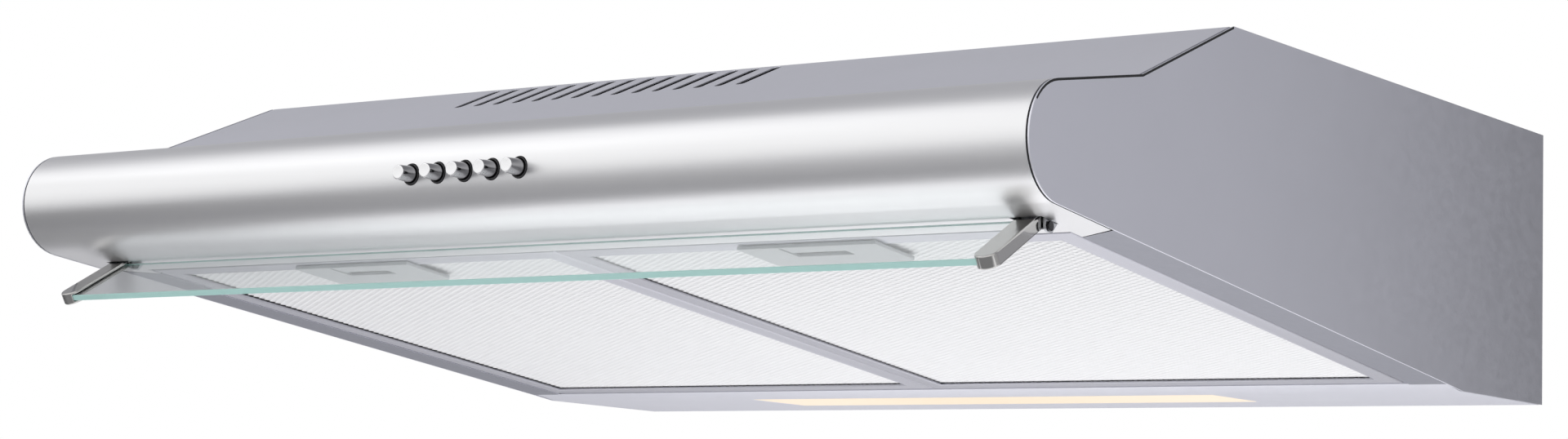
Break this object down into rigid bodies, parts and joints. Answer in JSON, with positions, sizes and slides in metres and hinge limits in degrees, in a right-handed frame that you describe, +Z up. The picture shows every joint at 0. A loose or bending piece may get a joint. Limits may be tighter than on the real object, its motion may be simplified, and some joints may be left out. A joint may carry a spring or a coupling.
{
  "type": "under cabinet range hood",
  "caption": "Slim range hood with a rounded steel front, tilting glass visor, push buttons, drop-down grease filters, lamp panel, blower and top air outlet.",
  "frame": {"origin": "middle of the flat rear face that stands against the wall", "axes": "+X to the hood's right along its width (seen from the front), +Y into the wall, +Z up; the front is towards -Y"},
  "size_m": [0.6, 0.5384, 0.1472],
  "materials": {
    "brushed_stainless": "satin",
    "silver_panel": "satin",
    "zinc_steel": "matte",
    "chrome": "polished",
    "dark_plastic": "matte",
    "dark_steel": "gloss",
    "grey_plastic": "satin",
    "pale_plastic": "gloss",
    "lamp_glass": "satin",
    "lamp_diffuser": "satin",
    "visor_glass": "gloss",
    "aluminium": "satin"
  },
  "bodies": {
    "hood": {"side_panel_left": "silver_panel", "side_panel_right": "silver_panel", "front_panel": "brushed_stainless", "top_panel": "silver_panel", "back_panel": "zinc_steel", "lamp_panel": "silver_panel", "front_rail": "zinc_steel", "switch_collar_frame": "dark_plastic", "switch_bank": "pale_plastic", "switch_hanger": "zinc_steel", "visor_bracket_left": "zinc_steel", "visor_bracket_right": "zinc_steel", "visor_pin_left": "dark_steel", "visor_pin_right": "dark_steel", "lamp_tray": "zinc_steel", "lamp_holder_left": "pale_plastic", "lamp_holder_right": "pale_plastic", "lamp_bulb_left": "lamp_glass", "lamp_bulb_right": "lamp_glass", "blower_housing": "dark_plastic", "motor_bracket": "zinc_steel", "motor": "zinc_steel", "outlet_sleeve": "dark_plastic", "damper_pin": "zinc_steel", "terminal_box": "pale_plastic", "cable_gland": "dark_plastic", "run_capacitor": "pale_plastic"},
    "button_1": {"button_1": "chrome"},
    "button_2": {"button_2": "chrome"},
    "button_3": {"button_3": "chrome"},
    "button_4": {"button_4": "chrome"},
    "button_5": {"button_5": "chrome"},
    "visor": {"visor_glass": "visor_glass", "visor_arm_left": "chrome", "visor_arm_right": "chrome"},
    "filter_left": {"filter_frame_left": "aluminium", "filter_mesh_left": "aluminium", "filter_core_left": "aluminium", "latch_plate_left": "grey_plastic"},
    "latch_left": {"latch_slider_left": "grey_plastic"},
    "filter_right": {"filter_frame_right": "aluminium", "filter_mesh_right": "aluminium", "filter_core_right": "aluminium", "latch_plate_right": "grey_plastic"},
    "latch_right": {"latch_slider_right": "grey_plastic"},
    "lamp_cover": {"lamp_cover": "lamp_diffuser"},
    "rotor": {"impeller": "dark_plastic", "rotor_shaft": "zinc_steel", "impeller_nut": "zinc_steel"},
    "vent_shutter": {"vent_shutter": "zinc_steel"},
    "damper_rear": {"damper_flap_rear": "grey_plastic"},
    "damper_front": {"damper_flap_front": "grey_plastic"}
  },
  "joints": [
    {"name": "button_1_press", "type": "slide", "parent": "hood", "child": "button_1", "axis": [0, 1, 0], "range_m": [0, 0.004], "stiffness_N_per_m": 300, "springref_m": -0.003},
    {"name": "button_2_press", "type": "slide", "parent": "hood", "child": "button_2", "axis": [0, 1, 0], "range_m": [0, 0.004], "stiffness_N_per_m": 300, "springref_m": -0.003},
    {"name": "button_3_press", "type": "slide", "parent": "hood", "child": "button_3", "axis": [0, 1, 0], "range_m": [0, 0.004], "stiffness_N_per_m": 300, "springref_m": -0.003},
    {"name": "button_4_press", "type": "slide", "parent": "hood", "child": "button_4", "axis": [0, 1, 0], "range_m": [0, 0.004], "stiffness_N_per_m": 300, "springref_m": -0.003},
    {"name": "button_5_press", "type": "slide", "parent": "hood", "child": "button_5", "axis": [0, 1, 0], "range_m": [0, 0.004], "stiffness_N_per_m": 300, "springref_m": -0.003},
    {"name": "visor_tilt", "type": "hinge", "parent": "hood", "child": "visor", "pos_m": [0, -0.4805, -0.03065], "axis": [1, 0, 0], "range_deg": [0, 60]},
    {"name": "filter_left_drop", "type": "hinge", "parent": "hood", "child": "filter_left", "pos_m": [0, -0.1274, -0.06463], "axis": [1, 0, 0], "range_deg": [0, 75]},
    {"name": "latch_left_pull", "type": "slide", "parent": "filter_left", "child": "latch_left", "axis": [0, 0.9932, -0.1167], "range_m": [0, 0.004], "stiffness_N_per_m": 300, "springref_m": -0.003},
    {"name": "filter_right_drop", "type": "hinge", "parent": "hood", "child": "filter_right", "pos_m": [0, -0.1274, -0.06463], "axis": [1, 0, 0], "range_deg": [0, 75]},
    {"name": "latch_right_pull", "type": "slide", "parent": "filter_right", "child": "latch_right", "axis": [0, 0.9932, -0.1167], "range_m": [0, 0.004], "stiffness_N_per_m": 300, "springref_m": -0.003},
    {"name": "lamp_cover_drop", "type": "hinge", "parent": "hood", "child": "lamp_cover", "pos_m": [0, -0.0422, -0.07115], "axis": [1, 0, 0], "range_deg": [0, 85]},
    {"name": "rotor_spin", "type": "hinge", "parent": "hood", "child": "rotor", "pos_m": [0.045, -0.178, 0.02735], "axis": [0, 0, 1], "continuous": true},
    {"name": "shutter_slide", "type": "slide", "parent": "hood", "child": "vent_shutter", "axis": [1, 0, 0], "range_m": [0, 0.0065]},
    {"name": "damper_rear_lift", "type": "hinge", "parent": "hood", "child": "damper_rear", "pos_m": [-0.04, -0.292, 0.04085], "axis": [1, 0, 0], "range_deg": [0, 70]},
    {"name": "damper_front_lift", "type": "hinge", "parent": "hood", "child": "damper_front", "pos_m": [-0.04, -0.292, 0.04085], "axis": [-1, 0, 0], "range_deg": [0, 70]}
  ]
}
